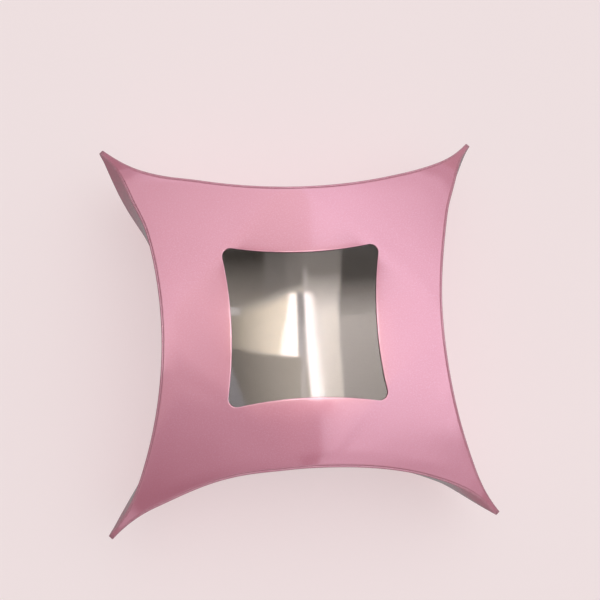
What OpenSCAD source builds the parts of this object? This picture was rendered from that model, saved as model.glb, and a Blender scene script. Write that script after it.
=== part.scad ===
// Square pillow favor box, folded from one sheet of laminated card, with a clear window.
// The origin is the middle of the underside. +Z is up, and the open ends face +Y and -Y.
// Each side's crease lies in a plane at 45 degrees, so the upright walls and the bent
// panels meet along one curve.

/* [Box] */
// Distance between neighbouring tips
tip_spacing = 140; // [110:1:200]
// Height of the box at its middle
depth = 43; // [24:0.5:56]
// Radius of the hollow curve of each side, seen from above
side_arc_r = 141; // [120:1:220]
// Half length of that curve, up to where the slender tip starts
side_arc_half = 54; // [40:1:56]
// Width of a tip at its very end
tip_width = 1.8; // [1.6:0.1:4]
// Thickness of a pinched tip, over both panels
tip_depth = 1.3; // [1.2:0.05:3]

/* [Card] */
// Thickness of the card
card_t = 0.5; // [0.3:0.05:0.55]
// Clearance along the crease of a flap
crease_gap = 0.15; // [0.05:0.05:0.3]
// Clearance at a free edge and between two flaps
flap_gap = 0.3; // [0.2:0.05:0.6]

/* [Window] */
// Width of the window, corner to corner
window_w = 55; // [30:1:70]
// How far each window edge bows in towards the middle
window_bow = 2.3; // [0.5:0.1:4]
// Radius of the window corners
window_corner_r = 2.7; // [1:0.1:6]
// Thickness of the clear film
film_t = 0.2; // [0.1:0.05:0.4]
// Width of the film behind the card, all round the window
film_margin = 9; // [5:0.5:11]
// Width of the film's bare border outside its glue
film_glue_edge = 1.5; // [0.5:0.5:3]
// Distance of the glue from the window edge
film_glue_inset = 2; // [1:0.5:3]
// Thickness of the glue, behind the window and in the seam
glue_t = 0.1; // [0.05:0.05:0.2]

/* [Flaps] */
// Half width of an outer flap, nearly out to the tips
outer_flap_half = 66; // [50:1:66]
// Half width of an inner flap, whose ends are trimmed
inner_flap_half = 50; // [40:1:52]
// How far an inner flap's ends slant in towards its free edge
inner_flap_taper = 8; // [2:1:14]
// Radius of the thumb notch in an outer flap's free edge
thumb_r = 8; // [5:0.5:12]

/* [Seam] */
// Height of the glue tab below the fold of the seam wall
tab_h = 11; // [6:0.5:14]
// Half length of the glue tab along the fold
tab_half = 44; // [30:1:46]
// How far the glue tab's ends are cut back towards its free edge
tab_bevel = 8; // [2:1:12]
// Height of the tab's step above the fold, where it joins the upper half wall
tab_lap = 1.2; // [0.6:0.2:3]
// Bare border between the seam glue and the edges of the tab
seam_border = 1; // [0.5:0.5:3]

/* [Hidden] */

// Facets along a side's hollow curve, on each side of the middle one, and along a tip's curve
side_steps = 12;
tip_steps = 6;
// Facets along half a window edge, and round a window corner
window_steps = 8;
corner_steps = 8;
// Overrun of every cut
over = 2;

card_pink = [0.90, 0.60, 0.72];
wall_pink = [0.84, 0.53, 0.66];
flap_pink = [0.87, 0.57, 0.69];
film_clear = [0.72, 0.70, 0.66, 0.45];
glue_pale = [0.93, 0.91, 0.84];

tip_half = tip_spacing / 2;
mid_z = depth / 2;
// How far each side draws in at its middle: as deep as its crease rises, for 45 degrees
side_inset = mid_z - tip_depth / 2;
side_mid = tip_half - side_inset;
reach = 2 * tip_spacing;

// A side's main curve, whose middle facet touches the side's middle
join_angle = asin(side_arc_half / side_arc_r);
side_step = join_angle / (side_steps + 0.5);
arc_centre = side_mid + side_arc_r * cos(side_step / 2);

// Its curve near a tip: an arc that carries on from the main one to the tip's corner
join_y = arc_centre - side_arc_r * cos(join_angle);
tip_cut = tip_width / sqrt(2);
tip_dx = tip_half - tip_cut - side_arc_half;
tip_dy = tip_half - join_y;
tip_turn = atan2(tip_dy, tip_dx) - join_angle;
tip_arc_r = norm([tip_dx, tip_dy]) / (2 * sin(tip_turn));
tip_arc_centre = [side_arc_half - tip_arc_r * sin(join_angle), join_y + tip_arc_r * cos(join_angle)];

// Direction, as an angle, of each point from the middle of a side out to one tip
points_out = [0 : side_steps + tip_steps];
function half_angle(i) = i <= side_steps
    ? side_step * (i + 0.5)
    : join_angle + 2 * tip_turn * (i - side_steps) / tip_steps;

function reversed(points) = [for (i = [len(points) - 1 : -1 : 0]) points[i]];
// The same points with the last facet made twice as long, so that it runs on past the tip
function run_on(points) =
    let (last = len(points) - 1)
    concat([for (i = [0 : last - 1]) points[i]], [2 * points[last] - points[last - 1]]);
// A whole line from its right half
function both_halves(right) = concat([for (p = reversed(right)) [-p[0], p[1]]], right);

// A point of the back side's curve, seen from above, moved in by w towards the inside
function half_point(i, w) =
    let (way_in = [sin(half_angle(i)), -cos(half_angle(i))])
    i <= side_steps ? [0, arc_centre] + (side_arc_r + w) * way_in : tip_arc_centre + (tip_arc_r + w) * way_in;
function side_curve(w) = both_halves(run_on([for (i = points_out) half_point(i, w)]));

// A panel's section along a diagonal: distance out from the middle, and height over the fold.
// It is flat up to the nearest crease and then bends down, so that it keeps to the creases.
function bend_way(angle) =
    let (way = [(cos(angle) + sin(angle)) / sqrt(2), -sin(angle)]) way / norm(way);
function bend_point(i, w) =
    let (p = half_point(i, 0), way = bend_way(half_angle(i)))
    [(p[0] + p[1]) / sqrt(2), tip_depth / 2 + tip_half - p[1]] - w * [-way[1], way[0]];
function bend_line(w) = both_halves(run_on([for (i = points_out) bend_point(i, w)]));
function bend_section(w) =
    let (line = bend_line(w)) concat(line, [[line[len(line) - 1][0], -reach], [line[0][0], -reach]]);

// The space under the lid's surface, moved in by w
module under_lid(w) {
    translate([0, 0, mid_z])
    intersection() {
        rotate([0, 0, 45]) rotate([90, 0, 0])
            linear_extrude(height = reach, center = true) polygon(bend_section(w));
        rotate([0, 0, -45]) rotate([90, 0, 0])
            linear_extrude(height = reach, center = true) polygon(bend_section(w));
    }
}

// Turns a lid-side shape upside down about the fold, for the base side
module flipped() {
    translate([0, 0, 2 * mid_z]) mirror([0, 0, 1]) children();
}

// All that lies on the wall's side of the mitre along the back crease of the lid
module behind_crease() {
    crease = side_curve(0);
    end_x = crease[len(crease) - 1][0];
    translate([0, side_mid, depth]) rotate([-45, 0, 0])
        linear_extrude(height = reach, center = true)
            polygon(concat([for (p = crease) [p[0], (p[1] - side_mid) * sqrt(2)]],
                           [[end_x, reach], [-end_x, reach]]));
}

// An upright sheet that follows the back side, between two distances in from the outline
module side_sheet(w_out, w_in) {
    linear_extrude(height = depth) polygon(concat(side_curve(w_out), reversed(side_curve(w_in))));
}

// All that lies between the four tips' ends, which are cut across the diagonals
module between_tips() {
    ends = (2 * tip_half - tip_cut) * sqrt(2);
    rotate([0, 0, 45]) translate([-ends / 2, -ends / 2, 0]) cube([ends, ends, depth]);
}

// A sheet that follows the lid, between two distances in from its surface: two bands that
// cross in the flat middle, each bent down towards two tips. Their width lies between the
// middles of the creases and the start of the bends.
module lid_sheet(w_out, w_in) {
    band_w = side_mid / sqrt(2) + bend_point(0, 0)[0];
    translate([0, 0, mid_z])
    for (turn = [45, -45])
        rotate([0, 0, turn]) rotate([90, 0, 0]) linear_extrude(height = band_w, center = true)
            polygon(concat(bend_line(w_out), reversed(bend_line(w_in))));
}

module panel_sheet() {
    intersection() {
        lid_sheet(0, card_t);
        between_tips();
    }
}

// Window outline, grown by an extra width: four edges that bow in, and rounded corners
module window_shape(grow) {
    half = window_w / 2 + grow;
    bow_r = (half * half + window_bow * window_bow) / (2 * window_bow);
    bow_centre = half - window_bow + bow_r;
    corner_r = window_corner_r + grow;
    corner_c = (bow_centre - sqrt(2 * pow(bow_r + corner_r, 2) - pow(bow_centre, 2))) / 2;
    edge_angle = atan2(corner_c, bow_centre - corner_c);
    edge = [for (i = [-window_steps : window_steps - 1])
        let (angle = edge_angle * i / window_steps) [bow_r * sin(angle), bow_centre - bow_r * cos(angle)]];
    corner = [for (i = [0 : corner_steps])
        let (angle = 90 + edge_angle - (90 + 2 * edge_angle) * i / corner_steps)
        [corner_c, corner_c] + corner_r * [cos(angle), sin(angle)]];
    quarter = concat(edge, corner);
    polygon([for (turn = [0 : 3], p = quarter)
        [p[0] * cos(90 * turn) + p[1] * sin(90 * turn), p[1] * cos(90 * turn) - p[0] * sin(90 * turn)]]);
}

module lid_panel() {
    color(card_pink)
    difference() {
        panel_sheet();
        for (turn = [0 : 3]) rotate([0, 0, 90 * turn]) behind_crease();
        translate([0, 0, mid_z]) linear_extrude(height = depth) window_shape(0);
    }
}

// The base's ends are cut upright, because the inner flaps stand on them
module base_panel() {
    back_end = side_curve(0);
    color(card_pink)
    difference() {
        intersection() {
            flipped() panel_sheet();
            linear_extrude(height = depth)
                polygon(concat(back_end, [for (p = reversed(back_end)) [p[0], -p[1]]]));
        }
        for (turn = [1, 3]) rotate([0, 0, 90 * turn]) flipped() behind_crease();
    }
}

// Half a side wall, between the fold and the lid, on the side that a quarter turn gives
module half_wall(turn) {
    rotate([0, 0, 90 * turn])
    intersection() {
        side_sheet(0, card_t);
        behind_crease();
        between_tips();
        translate([-tip_spacing, 0, mid_z]) cube([reach, tip_spacing, mid_z]);
    }
}

module left_wall_upper() {
    color(wall_pink) half_wall(1);
}

module left_wall_lower() {
    color(wall_pink) flipped() half_wall(1);
}

module right_wall_upper() {
    color(wall_pink) half_wall(3);
}

module right_wall_lower() {
    color(wall_pink) flipped() half_wall(3);
}

// A band of the seam wall's inside, with ends that are cut back towards the free edge
module seam_band(w_out, w_in, border, top) {
    half = tab_half - border;
    low = mid_z - tab_h + border;
    rotate([0, 0, -90])
    intersection() {
        side_sheet(w_out, w_in);
        rotate([90, 0, 0]) translate([0, 0, -tip_half]) linear_extrude(height = tip_half)
            polygon([[-half, top], [half, top], [half, mid_z - border], [half - tab_bevel, low],
                     [tab_bevel - half, low], [-half, mid_z - border]]);
    }
}

module glue_tab() {
    color(wall_pink)
    difference() {
        seam_band(card_t, 2 * card_t + glue_t, 0, mid_z + tab_lap);
        rotate([0, 0, -90]) intersection() {
            side_sheet(card_t - over, card_t + glue_t);
            translate([-tip_half, 0, 0]) cube([tip_spacing, tip_half, mid_z]);
        }
    }
}

module seam_glue() {
    color(glue_pale) seam_band(card_t, card_t + glue_t, seam_border, mid_z - seam_border);
}

module window_film() {
    film_w = window_w + 2 * film_margin;
    color(film_clear)
    intersection() {
        lid_sheet(card_t + glue_t, card_t + glue_t + film_t);
        translate([-film_w / 2, -film_w / 2, mid_z]) cube([film_w, film_w, mid_z]);
    }
}

module film_glue() {
    glue_w = window_w + 2 * (film_margin - film_glue_edge);
    color(glue_pale)
    intersection() {
        lid_sheet(card_t, card_t + glue_t);
        translate([0, 0, mid_z]) linear_extrude(height = mid_z) difference() {
            square(glue_w, center = true);
            window_shape(film_glue_inset);
        }
    }
}

// Hangs from the lid's crease, with its free edge just over the base and a thumb notch in it
module outer_flap() {
    color(flap_pink)
    difference() {
        intersection() {
            side_sheet(0, card_t);
            translate([0, 0, -crease_gap]) behind_crease();
            flipped() under_lid(card_t + flap_gap);
            translate([-outer_flap_half, 0, 0]) cube([2 * outer_flap_half, tip_half, depth]);
        }
        translate([0, tip_half, card_t + flap_gap]) rotate([90, 0, 0])
            cylinder(r = thumb_r, h = tip_half, $fn = 64);
    }
}

// Stands on the base behind the outer flap, with its free edge just under the lid
module inner_flap() {
    first = card_t + flap_gap;
    edge_half = inner_flap_half - inner_flap_taper;
    color(flap_pink)
    intersection() {
        side_sheet(first, first + card_t);
        under_lid(card_t + flap_gap);
        flipped() under_lid(card_t + crease_gap);
        translate([0, tip_half, 0]) rotate([90, 0, 0]) linear_extrude(height = tip_half)
            polygon([[-inner_flap_half, 0], [inner_flap_half, 0], [inner_flap_half, mid_z],
                     [edge_half, depth], [-edge_half, depth], [-inner_flap_half, mid_z]]);
    }
}

module back_outer_flap() {
    outer_flap();
}

module back_inner_flap() {
    inner_flap();
}

module front_outer_flap() {
    rotate([0, 0, 180]) outer_flap();
}

module front_inner_flap() {
    rotate([0, 0, 180]) inner_flap();
}

lid_panel();
base_panel();
left_wall_upper();
left_wall_lower();
right_wall_upper();
right_wall_lower();
glue_tab();
seam_glue();
window_film();
film_glue();
back_outer_flap();
back_inner_flap();
front_outer_flap();
front_inner_flap();
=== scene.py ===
# Looks for a square pillow favor box of pink pearl card with a clear window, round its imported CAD.
from math import radians

import bpy
import numpy as np
from mathutils import Euler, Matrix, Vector


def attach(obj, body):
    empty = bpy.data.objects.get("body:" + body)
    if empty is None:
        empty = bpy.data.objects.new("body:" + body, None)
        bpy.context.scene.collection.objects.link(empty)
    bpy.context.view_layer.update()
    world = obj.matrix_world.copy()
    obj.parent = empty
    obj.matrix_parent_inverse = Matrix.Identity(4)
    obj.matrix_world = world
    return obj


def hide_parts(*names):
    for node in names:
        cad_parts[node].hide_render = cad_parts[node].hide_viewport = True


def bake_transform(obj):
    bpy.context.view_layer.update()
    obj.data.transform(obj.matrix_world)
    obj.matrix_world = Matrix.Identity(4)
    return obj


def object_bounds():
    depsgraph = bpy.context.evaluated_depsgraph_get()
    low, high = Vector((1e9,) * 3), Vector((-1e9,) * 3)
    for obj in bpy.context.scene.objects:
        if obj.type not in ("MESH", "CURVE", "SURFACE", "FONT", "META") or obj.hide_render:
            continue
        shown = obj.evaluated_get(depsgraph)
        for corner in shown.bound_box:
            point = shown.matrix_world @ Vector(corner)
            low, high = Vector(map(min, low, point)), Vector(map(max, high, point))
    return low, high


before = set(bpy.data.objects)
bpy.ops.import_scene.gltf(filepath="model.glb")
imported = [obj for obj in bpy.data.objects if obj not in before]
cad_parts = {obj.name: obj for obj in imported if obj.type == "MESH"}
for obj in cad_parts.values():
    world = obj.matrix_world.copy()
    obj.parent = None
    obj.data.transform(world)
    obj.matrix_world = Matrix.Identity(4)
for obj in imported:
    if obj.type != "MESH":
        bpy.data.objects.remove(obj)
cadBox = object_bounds()
print("frame loaded:", len(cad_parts), "nodes")

# The folded card. Lengths are in metres, in the frame of the solids.
boxShape = {
    "tipHalf": cadBox[1].x,
    "depth": cadBox[1].z - cadBox[0].z,
    "sideRadius": 0.141,  # hollow curve of a side, seen from above
    "sideHalf": 0.054,  # half its length, up to where the slender tip starts
    "tipWidth": 0.0018,
    "tipDepth": 0.0013,
    "cardThickness": 0.00048,
    "foldReach": 0.0006,  # how far a rounded fold reaches from its crease
    "foldShare": (0.85, 0.3),  # the most of a tip's height and of its width that a fold takes up
    "foldRows": 8,
    "rollReach": 0.006,  # width of the card beside a fold that rolls over towards it
    "rollDrop": 0.00022,
    "rollRise": (0.004, 0.014),  # heights above the middle between which the roll sets in
    "heightPoints": 800,  # points along a side at which the lid's height is worked out
    "edgeWear": 0.0005,  # how far the rubbed, paler card reaches in from the outline
    "foldWear": 0.0006,  # and from a crease
    "cutWear": 0.0003,  # and from a cut edge
}
tipHalf = boxShape["tipHalf"]
depth = boxShape["depth"]
midHeight = depth / 2
foldReach = boxShape["foldReach"]

sideMid = tipHalf - (midHeight - boxShape["tipDepth"] / 2)
tipCut = boxShape["tipWidth"] / np.sqrt(2)
tipEnd = tipHalf - tipCut
tipMiddle = tipHalf - tipCut / 2

# The tighter arc of a tip carries on from the side's main arc, in the same direction, to the tip's corner
sideRadius = boxShape["sideRadius"]
sideHalf = boxShape["sideHalf"]
sideCentre = sideMid + sideRadius
joinAngle = np.arcsin(sideHalf / sideRadius)
joinOut = sideCentre - sideRadius * np.cos(joinAngle)
tipTurn = np.arctan2(tipHalf - joinOut, tipEnd - sideHalf) - joinAngle
tipRadius = np.hypot(tipEnd - sideHalf, tipHalf - joinOut) / (2 * np.sin(tipTurn))
tipCentre = (sideHalf - tipRadius * np.sin(joinAngle), joinOut + tipRadius * np.cos(joinAngle))


def smoothStep(value, start, end):
    # 0 before start, 1 after end, and 3t^2 - 2t^3 between them
    share = np.clip((value - start) / (end - start), 0, 1)
    return share * share * (3 - 2 * share)


def outwardAt(along):
    # Distance of a side from the middle: centre minus the root of radius^2 - along^2, for either arc
    far = np.abs(along)
    onMain = sideCentre - np.sqrt(sideRadius**2 - np.minimum(far, sideHalf) ** 2)
    tipAlong = np.clip(far, sideHalf, tipEnd) - tipCentre[0]
    onTip = tipCentre[1] - np.sqrt(tipRadius**2 - tipAlong**2)
    return np.where(far <= sideHalf, onMain, onTip)


def slopeAt(along):
    # Slope of the same curve: along over the root of radius^2 - along^2
    far = np.abs(along)
    onMain = far / np.sqrt(sideRadius**2 - np.minimum(far, sideHalf) ** 2)
    tipAlong = np.clip(far, sideHalf, tipEnd) - tipCentre[0]
    onTip = tipAlong / np.sqrt(tipRadius**2 - tipAlong**2)
    return np.sign(along) * np.where(far <= sideHalf, onMain, onTip)


def creaseHeight(along):
    # A crease rises by as much as its side draws in
    return midHeight + boxShape["tipDepth"] / 2 + tipHalf - outwardAt(along)


def edgeDistance(x, y):
    # Distance in from the nearer pair of sides
    return np.minimum(outwardAt(x) - np.abs(y), outwardAt(y) - np.abs(x))


def lidHeight(x, y):
    # The lid keeps one height along every line across a diagonal, |x| + |y| = along + outward, so it is a smooth
    # bend towards each tip and flat in between. Beside the folds it rolls over by drop (1 - distance / reach)^2, and
    # less where it comes down to the tips.
    along = np.linspace(0, tipEnd, boxShape["heightPoints"])
    height = np.interp(np.abs(x) + np.abs(y), along + outwardAt(along), creaseHeight(along))
    near = np.clip(1 - edgeDistance(x, y) / boxShape["rollReach"], 0, 1)
    return height - boxShape["rollDrop"] * near**2 * smoothStep(height - midHeight, *boxShape["rollRise"])


def foldReachAt(along):
    # Less where the tip comes down to mid height, or is so slender that its two folds would meet
    slender = outwardAt(along) - np.minimum(np.abs(along), tipEnd)
    heightShare, widthShare = boxShape["foldShare"]
    return np.minimum(foldReach, np.minimum(heightShare * (creaseHeight(along) - midHeight), widthShare * slender))


def sideCurve(share, inset):
    # The back side in plan, from tip middle (share 1) to tip middle (share -1): the curve moved in by inset along
    # its normal, then straight across half of the cut tip, up to the diagonal
    reach = share * tipMiddle
    along = np.clip(reach, -tipEnd, tipEnd)
    slope = slopeAt(along)
    length = np.sqrt(1 + slope**2)
    x = along + inset * slope / length
    y = outwardAt(along) - inset / length
    across = np.clip((np.abs(reach) - tipEnd) / (tipMiddle - tipEnd), 0, 1)
    onDiagonal = (np.abs(x) + y) / 2
    x = x + across * (np.sign(reach) * onDiagonal - x)
    y = y + across * (onDiagonal - y)
    return np.stack([x, y], axis=-1)


# Hand folding leaves each side a little in or out of its curve. For each bend: the direction of the side, the middle
# and half length of the bend along it, and how far it stands out at the lid and at the base.
sideBends = [
    {"out": (-1, 0), "middle": 0.052, "half": 0.016, "lid": 0.0010, "base": 0.0002},
    {"out": (-1, 0), "middle": 0.024, "half": 0.030, "lid": 0.0001, "base": -0.0016},
    {"out": (1, 0), "middle": 0.034, "half": 0.030, "lid": 0.0006, "base": 0.0006},
    {"out": (1, 0), "middle": 0.054, "half": 0.014, "lid": 0.0008, "base": 0.0008},
    {"out": (0, 1), "middle": -0.052, "half": 0.018, "lid": -0.0008, "base": -0.0008},
    {"out": (0, -1), "middle": -0.030, "half": 0.022, "lid": -0.0009, "base": -0.0009},
    {"out": (0, -1), "middle": 0.038, "half": 0.034, "lid": -0.0006, "base": -0.0022},
]
bendReach = (0.033, 0.049)  # distances from the middle of the box between which a bend sets in


def settled(points):
    # Each bend moves the card by (1 - t^2)^2 times its amount at that height, t being the distance from its middle
    # over half its length
    out = np.array(points, float)
    height = np.clip(points[..., 2] / depth, 0, 1)
    for bend in sideBends:
        outX, outY = bend["out"]
        outward = outX * points[..., 0] + outY * points[..., 1]
        along = np.abs(outY) * points[..., 0] + np.abs(outX) * points[..., 1]
        bump = np.clip(1 - ((along - bend["middle"]) / bend["half"]) ** 2, 0, 1) ** 2
        amount = bend["base"] + height * (bend["lid"] - bend["base"])
        shift = amount * bump * smoothStep(outward, *bendReach)
        out[..., 0] += outX * shift
        out[..., 1] += outY * shift
    return out


# Near a tip a wall springs out at mid height, up to a straight line from where it starts to the tip. For each corner:
# the start of the line, as a distance from the middle of the side, and the share of the way out to it.
wallSpring = {
    "left": {"back": (0.034, 1.10), "front": (0.050, 1.15)},
    "right": {"back": (0.042, 0.80), "front": (0.044, 0.10)},
    "back": {"left": (0.044, 0.40), "right": (0.050, 0.15)},
    "front": {"left": (0.046, 0.10), "right": (0.050, 1.15)},
}


def springAt(along, start, share):
    # How far the straight line from start to the tip stands outside the curve, times the share
    far = np.clip(np.abs(along), start, tipEnd)
    line = outwardAt(start) + (far - start) / (tipEnd - start) * (tipHalf - outwardAt(start))
    return share * np.maximum(line - outwardAt(far), 0)


# Which ends lie at positive and at negative along, once the back's sheet is turned to each side
sideEnds = {
    "left": ("back", "front"),
    "right": ("front", "back"),
    "back": ("right", "left"),
    "front": ("left", "right"),
}
quarterTurns = {"back": 0, "left": 1, "front": 2, "right": 3}


def sideSpring(side, along):
    # Each half of a side has the spring of the tip that it ends at
    plusEnd, minusEnd = sideEnds[side]
    plusSpring = springAt(along, *wallSpring[side][plusEnd])
    minusSpring = springAt(along, *wallSpring[side][minusEnd])
    return np.where(along > 0, plusSpring, minusSpring)


def turned(points, quarter):
    # A quarter turn sends (x, y) to (-y, x)
    out = np.array(points, float)
    for _ in range(quarter):
        out[..., 0], out[..., 1] = -out[..., 1].copy(), out[..., 0].copy()
    return out


def upsideDown(points):
    # Mirrors a lid-side grid about the mid height, with its columns reversed so that it still faces outwards
    out = points[:, ::-1].copy()
    out[..., 2] = depth - out[..., 2]
    return out


def gridPiece(name, points, looped=False, marks=None):
    # A quad between neighbouring rows and columns, which faces along rows x columns
    rows, columns = points.shape[:2]
    index = np.arange(rows * columns).reshape(rows, columns)
    if looped:
        index = np.hstack([index, index[:, :1]])
    quads = np.stack([index[:-1, :-1], index[1:, :-1], index[1:, 1:], index[:-1, 1:]], axis=-1)
    mesh = bpy.data.meshes.new(name)
    mesh.from_pydata(points.reshape(-1, 3).tolist(), [], quads.reshape(-1, 4).tolist())
    mesh.polygons.foreach_set("use_smooth", np.ones(len(mesh.polygons), bool))
    for markName, values in (marks or {}).items():
        mark = mesh.attributes.new(markName, "FLOAT", "POINT")
        mark.data.foreach_set("value", values.astype(np.float32).ravel())
    mesh.update()
    piece = bpy.data.objects.new(name, mesh)
    bpy.context.scene.collection.objects.link(piece)
    return piece


def thicken(piece, thickness, materials):
    # Gives the sheet its thickness inwards: the first material outside, the second inside, the third on cut edges
    for material in materials:
        piece.data.materials.append(material)
    solid = piece.modifiers.new("thickness", "SOLIDIFY")
    solid.thickness = thickness
    solid.offset = -1
    solid.material_offset = 1
    solid.material_offset_rim = 2
    return piece


# Materials


def newMaterial(name, **sockets):
    # A principled shader with the given values, each named by its socket with _ for a space
    material = bpy.data.materials.new(name)
    material.use_nodes = True
    shader = material.node_tree.nodes["Principled BSDF"]
    for socket, value in sockets.items():
        shader.inputs[socket.replace("_", " ")].default_value = value
    return material, shader


def addNode(material, kind, inputs=None, **settings):
    # An input is a value, or another node's output, which is then linked
    node = material.node_tree.nodes.new(kind)
    for key, value in settings.items():
        setattr(node, key, value)
    for socket, value in (inputs or {}).items():
        if isinstance(value, bpy.types.NodeSocket):
            material.node_tree.links.new(value, node.inputs[socket])
        else:
            node.inputs[socket].default_value = value
    return node


def noiseOf(material, scale, detail=3.0, roughness=0.55):
    # Noise in metres on the piece: a scale of 1000 has lumps of about 1 mm
    place = addNode(material, "ShaderNodeTexCoord").outputs["Object"]
    return addNode(
        material, "ShaderNodeTexNoise",
        {"Vector": place, "Scale": scale, "Detail": detail, "Roughness": roughness},
    ).outputs["Fac"]


def mixColours(material, share, first, second):
    # first + share (second - first)
    mix = addNode(material, "ShaderNodeMix", data_type="RGBA")
    for socket, value in ((mix.inputs[0], share), (mix.inputs[6], first), (mix.inputs[7], second)):
        if isinstance(value, bpy.types.NodeSocket):
            material.node_tree.links.new(value, socket)
        else:
            socket.default_value = value
    return mix.outputs[2]


def ranged(material, value, low, high, fromLow=0.3, fromHigh=0.7):
    # Stretches a value from one range to another: noise mostly lies between 0.3 and 0.7
    return addNode(
        material, "ShaderNodeMapRange",
        {"Value": value, "From Min": fromLow, "From Max": fromHigh, "To Min": low, "To Max": high},
    ).outputs["Result"]


def timesOf(material, first, second):
    return addNode(material, "ShaderNodeMath", {0: first, 1: second}, operation="MULTIPLY").outputs[0]


def plug(material, output, shader, socket):
    material.node_tree.links.new(output, shader.inputs[socket])


def bumpFrom(material, shader, height, strength, depthOfBump):
    # Tilts the shading where the height changes, for grain too fine to model
    bump = addNode(material, "ShaderNodeBump", {"Height": height, "Strength": strength, "Distance": depthOfBump})
    plug(material, bump.outputs["Normal"], shader, "Normal")


pearlLook = {
    "pink": (0.705, 0.256, 0.340, 1),
    "deepPink": (0.665, 0.228, 0.308, 1),
    "lilacPink": (0.730, 0.300, 0.402, 1),
    "worn": (0.86, 0.50, 0.57, 1),
    "cloudScale": 26,  # soft clouds of colour, about 40 mm across
    "pearlScale": 2600,  # pearl flakes, about 0.4 mm
    "fibreScale": 700,  # the board's fibres felt through the laminate
    "flakeAmount": 0.55,
    "flakeNoise": (0.45, 0.75),  # noise values at which the flakes start and are at their strongest
    "wearScale": 420,
    "wearAmount": (0.15, 0.75),
    "glossScale": 90,
    "roughness": (0.09, 0.13),
    "coat": 0.75,
    "coatRoughness": 0.035,
    "gloss": 1.5,  # index of refraction of the card's face and of its laminate
    "metallic": 0.09,
    "bump": 0.05,
    "bumpDepth": 0.0002,
}


def pearlCard(name, paintedShade=1.0):
    # Laminated pearl card: pink clouds, then lilac flakes, paler where the folds and cut edges are rubbed. All its
    # colours are scaled by shade, which below 1 is painted shade for copies on faces that get less light.
    look = pearlLook
    material, shader = newMaterial(
        name, Metallic=look["metallic"], IOR=look["gloss"], Coat_Weight=look["coat"],
        Coat_Roughness=look["coatRoughness"], Coat_IOR=look["gloss"],
    )
    tone = {key: tuple(paintedShade * c for c in look[key][:3]) + (1,) for key in ("pink", "deepPink", "lilacPink", "worn")}
    cloud = ranged(material, noiseOf(material, look["cloudScale"], 2.0), 0, 1)
    colour = mixColours(material, cloud, tone["deepPink"], tone["pink"])
    flake = ranged(material, noiseOf(material, look["pearlScale"], 1.0), 0, look["flakeAmount"], *look["flakeNoise"])
    colour = mixColours(material, flake, colour, tone["lilacPink"])
    wear = addNode(material, "ShaderNodeAttribute", attribute_name="wear").outputs["Fac"]
    patchy = ranged(material, noiseOf(material, look["wearScale"], 4.0), *look["wearAmount"])
    colour = mixColours(material, timesOf(material, wear, patchy), colour, tone["worn"])
    plug(material, colour, shader, "Base Color")
    rubbed = noiseOf(material, look["glossScale"], 3.0)
    plug(material, ranged(material, rubbed, *look["roughness"]), shader, "Roughness")
    bumpFrom(material, shader, noiseOf(material, look["fibreScale"], 5.0, 0.65), look["bump"], look["bumpDepth"])
    return material


# Grey-brown board colours, darkened as painted shade for the inside of the closed box
shadedBoardLook = {
    "dark": (0.072, 0.055, 0.036, 1),
    "light": (0.112, 0.088, 0.062, 1),
    "fleck": (0.20, 0.17, 0.13, 1),
    "fibreScale": 900,
    "fleckScale": 1700,
    "fleckAmount": 0.6,
    "fleckNoise": (0.62, 0.72),
    "roughness": 0.85,
    "bump": 0.25,
    "bumpDepth": 0.0003,
}


def shadedBareBoard(name):
    # The uncoated grey-brown back of the board, made darker than bare board as painted shade for the inside of the
    # closed box: fibres, and pale flecks where the noise is highest
    look = shadedBoardLook
    material, shader = newMaterial(name, Roughness=look["roughness"], IOR=1.45)
    fibre = noiseOf(material, look["fibreScale"], 6.0, 0.7)
    colour = mixColours(material, ranged(material, fibre, 0, 1), look["dark"], look["light"])
    fleck = ranged(material, noiseOf(material, look["fleckScale"], 2.0), 0, look["fleckAmount"], *look["fleckNoise"])
    plug(material, mixColours(material, fleck, colour, look["fleck"]), shader, "Base Color")
    bumpFrom(material, shader, fibre, look["bump"], look["bumpDepth"])
    return material


coreLook = {
    "deep": (0.62, 0.40, 0.44, 1),
    "pale": (0.80, 0.66, 0.67, 1),
    "pulpScale": 2400,
    "roughness": 0.8,
    "bump": 0.3,
    "bumpDepth": 0.0002,
}


def cutCore(name):
    # Die-cut edge: layers of pale pulp, seen as fine streaks
    look = coreLook
    material, shader = newMaterial(name, Roughness=look["roughness"])
    pulp = noiseOf(material, look["pulpScale"], 4.0, 0.7)
    colour = mixColours(material, ranged(material, pulp, 0, 1), look["deep"], look["pale"])
    plug(material, colour, shader, "Base Color")
    bumpFrom(material, shader, pulp, look["bump"], look["bumpDepth"])
    return material


filmLook = {
    "mirror": ((0.90, 0.88, 0.84, 1), (0.98, 0.97, 0.95, 1)),  # where rubbed, and where clean
    "opacity": 0.043,
    "hazeScale": 60,
    "glossScale": 35,
    "roughness": (0.02, 0.05),
}


def clearFilm(name):
    # A thin sheet that mirrors a little and lets the rest straight through, with faint rubbed clouds in its gloss
    look = filmLook
    material, shader = newMaterial(name, Metallic=1.0, Alpha=look["opacity"])
    haze = noiseOf(material, look["hazeScale"], 3.0)
    plug(material, mixColours(material, haze, *look["mirror"]), shader, "Base Color")
    rubbed = noiseOf(material, look["glossScale"], 4.0)
    plug(material, ranged(material, rubbed, *look["roughness"]), shader, "Roughness")
    return material


glueLook = {
    "dull": (0.74, 0.70, 0.62, 1),
    "bright": (0.84, 0.81, 0.74, 1),
    "blotScale": 260,
    "roughness": 0.5,
    "bump": 0.4,
    "bumpDepth": 0.0003,
}


def driedGlue(name):
    # Pale glue with a slightly uneven, half-gloss skin
    look = glueLook
    material, shader = newMaterial(name, Roughness=look["roughness"], IOR=1.48)
    blot = noiseOf(material, look["blotScale"], 4.0)
    colour = mixColours(material, ranged(material, blot, 0, 1), look["dull"], look["bright"])
    plug(material, colour, shader, "Base Color")
    bumpFrom(material, shader, blot, look["bump"], look["bumpDepth"])
    return material


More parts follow.
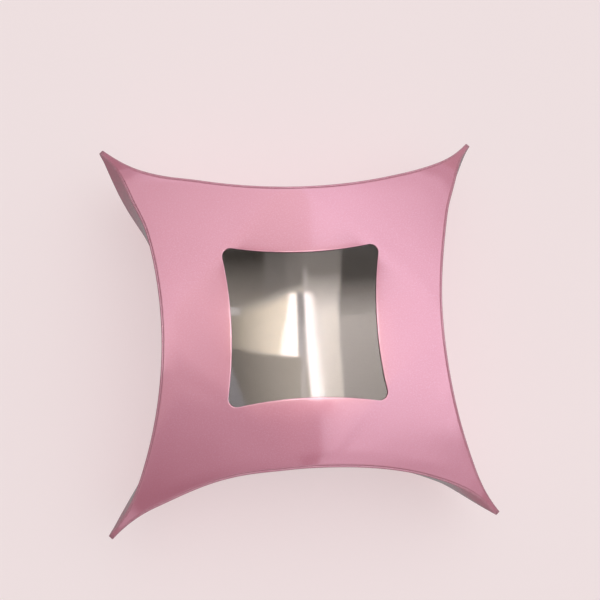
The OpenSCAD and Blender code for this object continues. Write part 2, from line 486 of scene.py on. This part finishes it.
lidPearl = pearlCard("lid pearl")
# The walls and flaps take darker copies of the same card: painted shade for sides that face away from the light
shadedWallPearl = pearlCard("wall pearl shaded", 0.86)
shadedFlapPearl = pearlCard("flap pearl shaded", 0.96)
board = shadedBareBoard("bare board shaded")
core = cutCore("cut core")
film = clearFilm("clear film")
glue = driedGlue("dried glue")
print("materials made")

# Window: four edges that bow in, and rounded corners
windowShape = {
    "half": 0.0282,
    "bow": 0.0029,
    "cornerRadius": 0.0029,
    "pressedEdge": 0.00035,  # width of the edge that the die presses down
    "pressedDrop": 0.00010,
    "edgePoints": 159,  # points of each side, and so of the lid's outline
    "edgeRows": (0, 0.002, 0.005, 0.009, 0.014, 0.022),  # rings close to the window, as shares of the way out
    "outerRows": (0.035, 1, 30),  # the first and last of the other rings, and how many there are
}


def windowCurve(share):
    # The back edge from corner to corner: a point of the bow's circle for a small share, and of the corner's circle
    # past it, both by their own arc length
    half, bow, cornerRadius = windowShape["half"], windowShape["bow"], windowShape["cornerRadius"]
    bowRadius = (half**2 + bow**2) / (2 * bow)
    bowCentre = half - bow + bowRadius
    corner = (bowCentre - np.sqrt(2 * (bowRadius + cornerRadius) ** 2 - bowCentre**2)) / 2
    edgeAngle = np.arctan2(corner, bowCentre - corner)
    edgeLength = bowRadius * edgeAngle
    run = np.abs(share) * (edgeLength + cornerRadius * (np.pi / 4 + edgeAngle))
    bowAngle = np.minimum(run, edgeLength) / bowRadius
    cornerAngle = np.pi / 2 + edgeAngle - np.maximum(run - edgeLength, 0) / cornerRadius
    onEdge = run <= edgeLength
    x = np.where(onEdge, bowRadius * np.sin(bowAngle), corner + cornerRadius * np.cos(cornerAngle))
    y = np.where(onEdge, bowCentre - bowRadius * np.cos(bowAngle), corner + cornerRadius * np.sin(cornerAngle))
    return np.stack([np.sign(share) * x, y], axis=-1)


def lidCard():
    # Rings from the window's edge to the folds: each point lies on the straight line between the two outlines, at
    # the lid's height. The first rows sink a little where the die pressed the edge.
    share = np.concatenate([[1], np.linspace(tipEnd, -tipEnd, windowShape["edgePoints"]) / tipMiddle])
    outer = np.concatenate([turned(sideCurve(share, foldReachAt(share * tipMiddle)), k) for k in range(4)])
    inner = np.concatenate([turned(windowCurve(share), k) for k in range(4)])
    rows = np.concatenate([windowShape["edgeRows"], np.linspace(*windowShape["outerRows"])])[:, None, None]
    plan = inner + rows * (outer - inner)
    x, y = plan[..., 0], plan[..., 1]
    fromWindow = np.linalg.norm(plan - inner, axis=-1)
    sunk = np.clip(1 - fromWindow / windowShape["pressedEdge"], 0, 1) ** 2 * windowShape["pressedDrop"]
    points = np.stack([x, y, lidHeight(x, y) - sunk], axis=-1)
    wear = np.exp(-edgeDistance(x, y) / boxShape["edgeWear"]) + np.exp(-fromWindow / boxShape["cutWear"])
    return gridPiece("lid_card", settled(points), looped=True, marks={"wear": np.minimum(wear, 1)})


baseShape = {
    "endInset": 0.0008,  # the inner flaps stand this far inside the outline
    "flapHalf": 0.050,
    "tipInset": 0.0001,  # bare edge of the base out towards the tips
    "easing": 0.004,  # length over which the edge runs out again beside an inner flap
    "edgePoints": 139,
}


def baseEndInset(along):
    # Inside the fold of an inner flap, and beside it a smooth step out to the bare edge
    beside = smoothStep(np.abs(along), baseShape["flapHalf"], baseShape["flapHalf"] + baseShape["easing"])
    folded = baseShape["endInset"] + foldReach
    return folded + beside * (baseShape["tipInset"] - folded)


def baseCard():
    # A patch between four curves: the blend of back and front, plus that of left and right, minus that of the corners
    share = np.concatenate([[-1], np.linspace(-tipEnd, tipEnd, baseShape["edgePoints"]) / tipMiddle, [1]])
    end = sideCurve(share, baseEndInset(share * tipMiddle))
    side = sideCurve(share, foldReachAt(share * tipMiddle))[:, ::-1]
    corner = side[-1, 0]
    end[[0, -1]] = [[-corner, corner], [corner, corner]]
    u = ((share + 1) / 2)[None, :, None]
    v = ((share + 1) / 2)[:, None, None]
    back, front = end[None, :, :], end[None, :, :] * [1, -1]
    right, left = side[:, None, :], side[:, None, :] * [-1, 1]
    corners = np.stack(np.broadcast_arrays((2 * u - 1) * corner, (2 * v - 1) * corner), axis=-1)[..., 0, :]
    plan = (1 - v) * front + v * back + (1 - u) * left + u * right - corners
    x, y = plan[..., 0], plan[..., 1]
    points = np.stack([x, y, depth - lidHeight(x, y)], axis=-1)
    wear = np.exp(-edgeDistance(x, y) / boxShape["edgeWear"])
    return gridPiece("base_card", settled(points), marks={"wear": wear})


def roundedFold(start, corner, end, rows):
    # A curve that leaves start towards corner and reaches end from it: (1-t)^2, 2t(1-t) and t^2 of the three points
    t = np.linspace(0, 1, rows)[:, None, None]
    return (1 - t) ** 2 * start + 2 * t * (1 - t) * corner + t**2 * end


def hangingSheet(along, bottom, rows):
    # A sheet that leaves the lid through a rounded fold and hangs straight down to the height bottom
    reach = foldReachAt(along)
    slope = slopeAt(along)
    length = np.sqrt(1 + slope**2)
    plan = np.stack([along, outwardAt(along)], axis=-1)
    lidPlan = plan + np.stack([slope, -np.ones_like(slope)], axis=-1) * (reach / length)[:, None]
    corner = np.column_stack([plan, lidHeight(plan[:, 0], plan[:, 1])])
    start = np.column_stack([lidPlan, lidHeight(lidPlan[:, 0], lidPlan[:, 1])])
    end = corner - np.column_stack([0 * along, 0 * along, reach])
    fold = roundedFold(start, corner, end, boxShape["foldRows"])
    fall = np.linspace(0, 1, rows)[1:, None, None]
    low = np.column_stack([plan, bottom])
    points = np.concatenate([fold, end + fall * (low - end)])
    wear = np.exp(-np.linalg.norm(points - corner, axis=-1) / boxShape["foldWear"])
    return points, wear


wallShape = {
    "points": 161,
    "rows": 24,
    "tipPoints": 4,  # across each cut tip
    "midFold": 0.0004,  # half width of the fold at mid height
    "midDrop": 0.00022,  # how far it is pressed in
    "midRise": (0.001, 0.004),  # heights of the crease above it between which it sets in
    "midWear": 0.6,
}


def roundTips(points, wear):
    # Carries both ends of a wall across the cut tips: columns on the way to their mirror image in the diagonal
    plus, minus = points[:, :1], points[:, -1:]
    more = wallShape["tipPoints"]
    share = np.linspace(0, 1, more + 1)[1:, None]
    mirrorPlus, mirrorMinus = plus[..., [1, 0, 2]], minus[..., [1, 0, 2]] * [-1, -1, 1]
    before = plus + share[::-1] * (mirrorPlus - plus)
    after = minus + share * (mirrorMinus - minus)
    wear = np.pad(wear, ((0, 0), (more, more)), mode="edge")
    return np.concatenate([before, points, after], axis=1), wear


def halfWall(name, side, below):
    # Half of a closed side, from its fold to the fold at mid height, which is pressed in a little in the middle and
    # springs out towards the tips
    along = np.linspace(1, -1, wallShape["points"]) * tipEnd
    points, wear = hangingSheet(along, np.full_like(along, midHeight), wallShape["rows"])
    nearMiddle = np.exp(-((points[..., 2] - midHeight) / wallShape["midFold"]) ** 2)
    tall = smoothStep(creaseHeight(along) - midHeight, *wallShape["midRise"])
    points[..., 1] -= wallShape["midDrop"] * nearMiddle * tall
    fallen = (creaseHeight(along) - points[..., 2]) / (creaseHeight(along) - midHeight)
    points[..., 1] += np.maximum(fallen, 0) * sideSpring(side, along)
    wear = np.maximum(wear, wallShape["midWear"] * nearMiddle * tall)
    points, wear = roundTips(points, wear)
    if below:
        points, wear = upsideDown(points), wear[:, ::-1]
    return gridPiece(name, settled(turned(points, quarterTurns[side])), marks={"wear": wear})


outerFlapShape = {
    "half": 0.0686,
    "edgeGap": 0.0008,  # the free edge stops this far above the base's underside
    "thumbRadius": 0.008,
    "bendDepth": 0.016,  # depth below the crease over which the card bends when the flap opens
    "wingPoints": 80,
    "notchPoints": 49,
    "rows": 34,
}


def outerFlap(name, side):
    # Hangs from the crease to just over the base, with half a circle cut out for a thumb. Its spring is greatest
    # half way down: 4f(1-f) of it, where f is how far down a point is.
    shape = outerFlapShape
    thumb = shape["thumbRadius"]
    notch = thumb * np.sin(np.linspace(np.pi / 2, -np.pi / 2, shape["notchPoints"]))
    wing = np.linspace(shape["half"], thumb, shape["wingPoints"])[:-1]
    along = np.concatenate([wing, notch, -wing[::-1]])
    bottom = depth - creaseHeight(along) + shape["edgeGap"]
    cut = shape["edgeGap"] + np.sqrt(np.maximum(thumb**2 - along**2, 0))
    bottom = np.where(np.abs(along) < thumb, np.maximum(bottom, cut), bottom)
    points, wear = hangingSheet(along, bottom, shape["rows"])
    fallen = np.clip((creaseHeight(along) - points[..., 2]) / (creaseHeight(along) - bottom), 0, 1)
    points[..., 1] += 4 * fallen * (1 - fallen) * sideSpring(side, along)
    fromEdge = points[..., 2] - bottom
    wear = np.maximum(wear, np.exp(-fromEdge / boxShape["cutWear"]))
    return gridPiece(name, settled(turned(points, quarterTurns[side])), marks={"wear": np.minimum(wear, 1)})


innerFlapShape = {
    "half": baseShape["flapHalf"],
    "topHalf": 0.042,
    "inset": baseShape["endInset"],
    "topGap": 0.0008,  # below the lid's upper face
    "bendDepth": 0.012,
    "points": 141,
    "rows": (14, 20),  # below and above mid height
}


def innerFlap(name, side):
    # Stands on the base behind the outer flap. Its ends slant in above mid height, and its top follows the lid.
    shape = innerFlapShape
    share = np.linspace(1, -1, shape["points"])
    lowRows, highRows = shape["rows"]
    height = np.concatenate([np.linspace(0, 0.5, lowRows)[:-1], np.linspace(0.5, 1, highRows)])[:, None]
    half = shape["half"] - (shape["half"] - shape["topHalf"]) * np.clip(2 * height - 1, 0, 1)
    along = share * half
    slope = slopeAt(along)
    length = np.sqrt(1 + slope**2)
    x = along + shape["inset"] * slope / length
    y = outwardAt(along) - shape["inset"] / length
    low = depth - lidHeight(x, y) + foldReach
    high = lidHeight(x, y) - shape["topGap"]
    stand = np.stack([x, y, low + height * (high - low)], axis=-1)
    end = stand[0]
    corner = end - [0, 0, foldReach]
    outSlope, outLength = slope[0], length[0]
    startPlan = end[:, :2] + np.stack([outSlope, -np.ones_like(outSlope)], axis=-1) * (foldReach / outLength)[:, None]
    start = np.column_stack([startPlan, depth - lidHeight(startPlan[:, 0], startPlan[:, 1])])
    points = np.concatenate([roundedFold(start, corner, end, boxShape["foldRows"]), stand[1:]])[:, ::-1]
    wear = np.exp(-np.linalg.norm(points - corner[::-1], axis=-1) / boxShape["foldWear"])
    return gridPiece(name, settled(turned(points, quarterTurns[side])), marks={"wear": wear})


filmShape = {
    "half": 0.0365,
    "below": 0.0006,  # under the lid's upper face: the card and its glue
    "thickness": 0.0002,
    "ripple": 0.000008,
    "waves": ((210, 60, 0), (-80, 130, 1.3)),  # of each wave, its turn per metre along x and y, and its start
    "points": 121,
    "flatReach": (0.0535, 0.0610),  # |x| + |y| over which it leaves the flat to follow the lid's bend
}


def windowFilm():
    # Follows the lid from below, with a ripple that is the sum of two slow waves
    line = np.linspace(-1, 1, filmShape["points"]) * filmShape["half"]
    y, x = np.meshgrid(line, line, indexing="ij")
    waves = [np.sin(turnX * x + turnY * y + start) for turnX, turnY, start in filmShape["waves"]]
    ripple = filmShape["ripple"] * sum(waves)
    follow = smoothStep(np.abs(x) + np.abs(y), *filmShape["flatReach"])
    height = depth - follow * (depth - lidHeight(x, y)) - filmShape["below"]
    points = np.stack([x, y, height + ripple], axis=-1)
    return gridPiece("window_sheet", points[:, ::-1].copy())


def ridePlain(piece, body, slot, *nodes):
    # A piece that stays stiff on its body, in place of its solid
    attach(piece, body)
    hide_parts(*nodes)


thickness = boxShape["cardThickness"]
ridePlain(thicken(lidCard(), thickness, [lidPearl, board, core]), "sleeve", "card", "lid_panel")
ridePlain(thicken(baseCard(), thickness, [lidPearl, board, core]), "sleeve", "card", "base_panel")
for wallSide in ("left", "right"):
    for level in ("upper", "lower"):
        wall = halfWall(f"{wallSide}_wall_{level}_card", wallSide, level == "lower")
        ridePlain(thicken(wall, thickness, [shadedWallPearl, board, core]), "sleeve", "wall_card",
                  f"{wallSide}_wall_{level}")
print("sleeve made")

sheet = thicken(windowFilm(), filmShape["thickness"], [film, film, film])
ridePlain(sheet, "sleeve", "film", "window_film")
for node, material in (("glue_tab", board), ("seam_glue", glue), ("film_glue", glue)):
    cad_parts[node].data.materials.clear()
    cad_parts[node].data.materials.append(material)
print("window made")

for end, sign in (("back", 1), ("front", -1)):
    outer = thicken(outerFlap(f"{end}_outer_card", end), thickness, [shadedFlapPearl, board, core])
    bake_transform(outer)
    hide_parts(f"{end}_outer_flap")
    inner = thicken(innerFlap(f"{end}_inner_card", end), thickness, [shadedFlapPearl, board, core])
    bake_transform(inner)
    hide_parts(f"{end}_inner_flap")
print("flaps made")

# Camera: nearly overhead, a little towards the front left
cameraView = {
    "place": (-0.041920, -0.043652, 0.384063),
    "turn": (8.9816, -6.3256, -3.1169),  # degrees
    "lens": 60.2,
    "sensor": 36,
    "imageSize": 600,
}
camera = bpy.data.objects.new("camera", bpy.data.cameras.new("camera"))
bpy.context.scene.collection.objects.link(camera)
camera.location = cameraView["place"]
camera.rotation_euler = Euler([radians(a) for a in cameraView["turn"]])
camera.data.lens = cameraView["lens"]
camera.data.sensor_width = cameraView["sensor"]
bpy.context.scene.camera = camera


def pixelOf(x, y, z):
    # Where the camera sees a point, in pixels of the square image: the point in the camera's axes, over its depth
    toCamera = np.array(Euler([radians(a) for a in cameraView["turn"]]).to_matrix().transposed())
    local = (np.stack([x, y, z], axis=-1) - cameraView["place"]) @ toCamera.T
    scale = cameraView["imageSize"] * cameraView["lens"] / cameraView["sensor"]
    middle = cameraView["imageSize"] / 2
    return middle + scale * local[..., 0] / -local[..., 2], middle - scale * local[..., 1] / -local[..., 2]


# Floor: pale paper that glows a little, so that the shadow on it stays faint, and that the card doesn't mirror
floorLook = {
    "half": 1.6,
    "colours": ((0.478, 0.420, 0.420, 1), (0.490, 0.430, 0.430, 1)),
    "cloudScale": 12,
    "glow": (0.80, 0.70, 0.70, 1),
    "glowStrength": 0.65,
}
floorPoints = np.array([[[-1, -1, 0], [1, -1, 0]], [[-1, 1, 0], [1, 1, 0]]], float)[:, ::-1] * floorLook["half"]
floor = gridPiece("floor", floorPoints)
paper, paperShader = newMaterial(
    "floor paper", Roughness=0.9, Specular_IOR_Level=0.1,
    Emission_Color=floorLook["glow"], Emission_Strength=floorLook["glowStrength"],
)
paperCloud = noiseOf(paper, floorLook["cloudScale"], 2.0)
plug(paper, mixColours(paper, paperCloud, *floorLook["colours"]), paperShader, "Base Color")
floor.data.materials.append(paper)
floor.visible_glossy = False

# Sky of the studio: round + overhead * max(0, direction . towards)^width, so brightest overhead to the back right
skyLight = {
    "round": 0.26,
    "overhead": 1.25,
    "towards": (0.34, 0.30, 0.89),
    "width": 3.5,
    "colour": (1.0, 0.985, 0.99, 1),
}
world = bpy.data.worlds.new("studio")
bpy.context.scene.world = world
world.use_nodes = True
backdrop = world.node_tree.nodes["Background"]
backdrop.inputs["Color"].default_value = skyLight["colour"]
direction = addNode(world, "ShaderNodeTexCoord").outputs["Generated"]
towards = Vector(skyLight["towards"]).normalized()
facing = addNode(world, "ShaderNodeVectorMath", {0: direction, 1: towards}, operation="DOT_PRODUCT").outputs["Value"]
forward = addNode(world, "ShaderNodeMath", {0: facing, 1: 0}, operation="MAXIMUM").outputs[0]
lobe = addNode(world, "ShaderNodeMath", {0: forward, 1: skyLight["width"]}, operation="POWER").outputs[0]
strength = addNode(
    world, "ShaderNodeMath", {0: lobe, 1: skyLight["overhead"], 2: skyLight["round"]}, operation="MULTIPLY_ADD"
).outputs[0]
plug(world, strength, backdrop, "Strength")

# Reflection board: one soft panel over the box that only the gloss of the card and the film sees. Its patches are
# laid out by the pixels at which the camera meets their mirror image in the flat lid.
reflectionBoard = {
    "height": 0.62,
    "fineReach": 0.031,  # half size of the middle of the lid's plane, which has the finer grid
    "lidReach": 0.50,  # half size of the part of the lid's plane that it serves
    "edgeFade": (0.36, 0.48),  # where its glow fades to that of the sky
    "edgeGlow": 1.0,
    "windowMargin": 0.0011,  # how far the film's part of it reaches past the window
    "finePoints": 200,
    "coarsePoints": 36,
    "cool": (0.97, 0.93, 1.06, 1),
    "warm": (1.16, 1.0, 0.84, 1),
}

# A patch lies to the right of each of its edges on the image: x and y of two points, and how soft the edge is. Its
# glow runs from one point to another, each as x, y and glow.
cardPatches = [
    {"edges": [], "from": (139, 325, 2.95), "to": (191, 416, 1.32), "warmth": 0.3},
    {"edges": [(0, 470, 600, 470, 15)], "from": (150, 470, 1.61), "to": (-300, 950, 0.83), "warmth": 0.3},
    {"edges": [(308, 150, 322, 440, 4), (60, 540, 300, 385, 25)],
     "from": (-218, 667, 0.97), "to": (-144, 991, 0.07), "warmth": 0.1},
    {"edges": [(308, 150, 322, 440, 4), (296, 440, 296, 150, 12), (0, 405, 600, 405, 10)],
     "from": (303, 449, 0.95), "to": (327, 460, 0.02), "warmth": 0.1},
    {"edges": [(290, 0, 170, 255, 30), (600, 330, 0, 330, 40)],
     "from": (200, 212, 3.05), "to": (-327, -215, 1.99), "warmth": 0.2},
    {"edges": [(322, 440, 308, 150, 4)], "from": (339, 385, 3.94), "to": (313, 479, 1.6)},
    {"edges": [(400, 440, 380, 150, 22)], "from": (540, 477, 3.9), "to": (458, 607, 1.53)},
    {"edges": [(520, 270, 330, 100, 40)], "from": (571, 151, 3.47), "to": (753, -266, 2.06)},
    {"edges": [(322, 440, 308, 150, 4), (372, 150, 380, 440, 26), (600, 262, 0, 262, 30)],
     "from": (303, 219, 4.16), "to": (372, 151, 3.34)},
    {"edges": [(560, 760, 760, 560, 70)], "from": (748, 738, 3.26), "to": (858, 934, 1.25)},
    {"edges": [(322, 440, 308, 150, 4), (420, 530, 680, 665, 12)],
     "from": (525, 673, 1.75), "to": (517, 694, 1.32)},
    {"edges": [(296, 440, 296, 390, 6), (334, 390, 334, 440, 6), (0, 380, 600, 380, 6), (600, 414, 0, 414, 6)],
     "from": (315, 398, 0.0), "to": (315, 420, 1.0)},
]
filmPatches = [
    {"edges": [], "from": (240, 258, 0.3), "to": (243, 334, 3.8), "warmth": 0.7},
    {"edges": [(265, 330, 264, 240, 3)], "from": (280, 250, 1.1), "to": (280, 290, 1.9), "warmth": 0.6},
    {"edges": [(285, 330, 284, 240, 4)], "from": (290, 252, 1.7), "to": (290, 290, 2.3), "warmth": 0.6},
    {"edges": [(231, 312, 283, 294, 9), (298, 358.3, 232, 348, 0.8)],
     "from": (233, 330, 2.9), "to": (283, 330, 9.6), "warmth": 1.0},
    {"edges": [(231, 307, 242, 306, 1), (242, 313, 231, 314, 2), (241, 300, 241, 320, 3)],
     "from": (231, 310, 5.8), "to": (242, 310, 5.2), "warmth": 0.4},
    {"edges": [(0, 292, 600, 290, 4), (298.7, 358.5, 293.4, 293, 1)],
     "from": (298, 296, 3.4), "to": (300, 360, 5.6), "warmth": 0.4},
    {"edges": [(283, 354, 286.6, 292, 2.5), (293.4, 293, 298.7, 358.5, 0.8), (280, 292.3, 300, 292.5, 1.5),
               (298, 358.3, 232, 348, 0.8)],
     "from": (290, 300, 15), "to": (290, 350, 15), "warmth": 0.5},
    {"edges": [(232, 348, 306, 359.5, 0.8)], "from": (235, 372, 1.3), "to": (306, 365, 4.4), "warmth": 0.8},
    {"edges": [(232, 373, 244, 405, 0.8)], "from": (232, 380, 2.3), "to": (240, 404, 2.2), "warmth": 0.2},
    {"edges": [(340.5, 400, 340.5, 240, 2.5)], "from": (360, 276, 0.7), "to": (360, 314, 4.0), "warmth": 0.6},
    {"edges": [(340.5, 400, 340.5, 240, 2.5), (341.5, 316.8, 377, 315.4, 1.2)],
     "from": (350, 320, 5.1), "to": (380, 395, 3.7), "warmth": 0.6},
    {"edges": [(305.5, 345, 301.5, 290, 1.5), (311, 397, 305.5, 345, 1.5), (340.5, 240, 341.5, 400, 2.5)],
     "from": (320, 270, 2.2), "to": (320, 316, 10.0), "warmth": 0.6},
    {"edges": [(325, 400, 325, 240, 10), (340.5, 240, 341.5, 400, 2.5), (0, 310, 600, 310, 15)],
     "from": (325, 325, 9.2), "to": (330, 395, 7.4), "warmth": 0.7},
    {"edges": [(302.3, 300, 302.3, 262, 1), (306, 262, 306, 300, 2), (290, 267, 320, 267, 3)],
     "from": (304, 266, 3.6), "to": (304, 292, 6.0), "warmth": 0.5},
    {"edges": [(305.5, 345, 301.5, 290, 1.2), (311, 397, 305.5, 345, 1.2), (310.5, 290, 320.5, 397, 6),
               (290, 292, 320, 292, 3)],
     "from": (308, 300, 15), "to": (314, 390, 15), "warmth": 0.4},
]


def patchedGlow(px, py, patches):
    # Patch after patch over the ones before. An edge's weight rises from 0 to 1 over twice its softness. The distance
    # from an edge is the cross product with its direction.
    glow, warmth = np.zeros_like(px), np.zeros_like(px)
    for patch in patches:
        weight = np.ones_like(px)
        for startX, startY, endX, endY, soft in patch["edges"]:
            edgeX, edgeY = endX - startX, endY - startY
            inside = (edgeX * (py - startY) - edgeY * (px - startX)) / np.hypot(edgeX, edgeY)
            weight = weight * smoothStep(inside, -soft, soft)
        (fromX, fromY, first), (toX, toY, last) = patch["from"], patch["to"]
        wayX, wayY = toX - fromX, toY - fromY
        along = np.clip(((px - fromX) * wayX + (py - fromY) * wayY) / (wayX**2 + wayY**2), 0, 1)
        glow = glow + weight * (first + along * (last - first) - glow)
        warmth = warmth + weight * (patch.get("warmth", 0) - warmth)
    return glow, warmth


def glowBoard():
    # Each point of the lid's plane is sent on along the mirrored ray to the board's height
    fine, reach = reflectionBoard["fineReach"], reflectionBoard["lidReach"]
    middle = np.linspace(-fine, fine, reflectionBoard["finePoints"])
    outer = np.geomspace(fine, reach, reflectionBoard["coarsePoints"])[1:]
    line = np.concatenate([-outer[::-1], middle, outer])
    lidY, lidX = np.meshgrid(line, line, indexing="ij")
    px, py = pixelOf(lidX, lidY, np.full_like(lidX, depth))
    away = (reflectionBoard["height"] - depth) / (cameraView["place"][2] - depth)
    boardX = lidX + away * (lidX - cameraView["place"][0])
    boardY = lidY + away * (lidY - cameraView["place"][1])
    points = np.stack([boardX, boardY, np.full_like(boardX, reflectionBoard["height"])], axis=-1)
    # The film's part of the board follows the window's bowed edges: half - bow (1 - (along / half)^2)
    half, bow = windowShape["half"], windowShape["bow"]
    edge = half + reflectionBoard["windowMargin"] - bow * (1 - np.clip(line / half, -1, 1) ** 2)
    inWindow = (np.abs(lidX) < edge[:, None]) & (np.abs(lidY) < edge)
    cardGlow, cardWarmth = patchedGlow(px, py, cardPatches)
    filmGlow, filmWarmth = patchedGlow(px, py, filmPatches)
    fade = smoothStep(np.hypot(lidX, lidY), *reflectionBoard["edgeFade"])
    cardGlow += fade * (reflectionBoard["edgeGlow"] - cardGlow)
    glow = np.where(inWindow, filmGlow, cardGlow)
    warmth = np.where(inWindow, filmWarmth, cardWarmth)
    panel = gridPiece("reflection_board", points, marks={"glow": glow, "warmth": warmth})
    material = bpy.data.materials.new("board glow")
    material.use_nodes = True
    material.node_tree.nodes.clear()
    amount = addNode(material, "ShaderNodeAttribute", attribute_name="glow").outputs["Fac"]
    warm = addNode(material, "ShaderNodeAttribute", attribute_name="warmth").outputs["Fac"]
    colour = mixColours(material, warm, reflectionBoard["cool"], reflectionBoard["warm"])
    emission = addNode(material, "ShaderNodeEmission", {"Color": colour, "Strength": amount})
    output = addNode(material, "ShaderNodeOutputMaterial")
    material.node_tree.links.new(emission.outputs[0], output.inputs["Surface"])
    panel.data.materials.append(material)
    panel.visible_camera = panel.visible_diffuse = panel.visible_shadow = panel.visible_transmission = False


glowBoard()
bpy.context.scene.view_settings.view_transform = "Standard"
print("camera and lights made")
